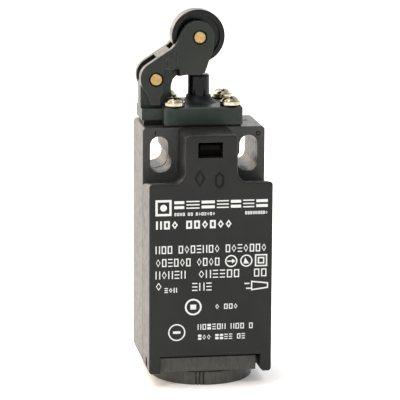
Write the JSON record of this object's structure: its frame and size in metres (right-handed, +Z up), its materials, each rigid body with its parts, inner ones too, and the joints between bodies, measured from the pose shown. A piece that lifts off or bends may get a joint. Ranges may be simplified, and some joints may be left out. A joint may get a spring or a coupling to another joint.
{
  "type": "limit switch",
  "caption": "Compact limit switch: moulded case with hinged front cover, mounting slots, threaded cable entry, and a roller lever head that presses a plunger.",
  "frame": {"origin": "centre of the bottom face of the cable entry boss", "axes": "+Z up along the plunger's travel, front cover faces -Y, lever pivot on the -X side"},
  "size_m": [0.03, 0.03, 0.0901],
  "materials": {
    "case_plastic": "satin",
    "cover_plastic": "satin",
    "head_plastic": "satin",
    "lever_plastic": "satin",
    "roller_plastic": "satin",
    "plunger_plastic": "gloss",
    "seal_rubber": "matte",
    "zinc_steel": "polished",
    "pin_brass": "satin",
    "spring_steel": "satin",
    "contact_brass": "satin",
    "silver_tip": "satin",
    "block_plastic": "matte",
    "slider_plastic": "matte"
  },
  "bodies": {
    "housing": {"base_housing": "case_plastic", "actuator_head": "head_plastic", "head_gasket": "seal_rubber", "head_screws": "zinc_steel", "plunger_seal": "seal_rubber", "plunger_spring": "spring_steel", "slider_spring": "spring_steel", "contact_block": "block_plastic", "contact_block_front": "block_plastic", "contact_block_screws": "zinc_steel", "nc_fixed_contacts": "contact_brass", "no_fixed_contacts": "contact_brass", "nc_fixed_tips": "silver_tip", "no_fixed_tips": "silver_tip", "terminal_clamps": "zinc_steel", "terminal_screws": "zinc_steel"},
    "cover": {"front_cover": "cover_plastic", "cover_gasket": "seal_rubber"},
    "lever": {"roller_lever": "lever_plastic", "lever_pin": "pin_brass", "roller_pin": "pin_brass"},
    "roller": {"roller": "roller_plastic"},
    "plunger": {"plunger": "plunger_plastic"},
    "slider": {"contact_slider": "slider_plastic", "nc_bridge": "contact_brass", "no_bridge": "contact_brass", "nc_bridge_tips": "silver_tip", "no_bridge_tips": "silver_tip", "nc_contact_spring": "spring_steel", "no_contact_spring": "spring_steel"}
  },
  "joints": [
    {"name": "cover_hinge", "type": "hinge", "parent": "housing", "child": "cover", "pos_m": [0, -0.01, 0.0057], "axis": [1, 0, 0], "range_deg": [0, 80]},
    {"name": "lever_pivot", "type": "hinge", "parent": "housing", "child": "lever", "pos_m": [-0.01115, 0.006, 0.0734], "axis": [0, 1, 0], "range_deg": [0, 23], "stiffness_Nm_per_rad": 0.1, "springref_deg": -14.32},
    {"name": "roller_spin", "type": "hinge", "parent": "lever", "child": "roller", "pos_m": [-0.00045, 0.006, 0.0836], "axis": [0, 1, 0], "continuous": true},
    {"name": "plunger_slide", "type": "slide", "parent": "housing", "child": "plunger", "axis": [0, 0, -1], "range_m": [0, 0.00425], "deforming": ["plunger_spring"]},
    {"name": "slider_slide", "type": "slide", "parent": "housing", "child": "slider", "axis": [0, 0, -1], "range_m": [0, 0.00425], "deforming": ["slider_spring"]}
  ],
  "couplings": [
    {"joint": "plunger_slide", "follows": "lever_pivot", "m_per_rad": 0.010513},
    {"joint": "slider_slide", "follows": "lever_pivot", "m_per_rad": 0.010513}
  ]
}
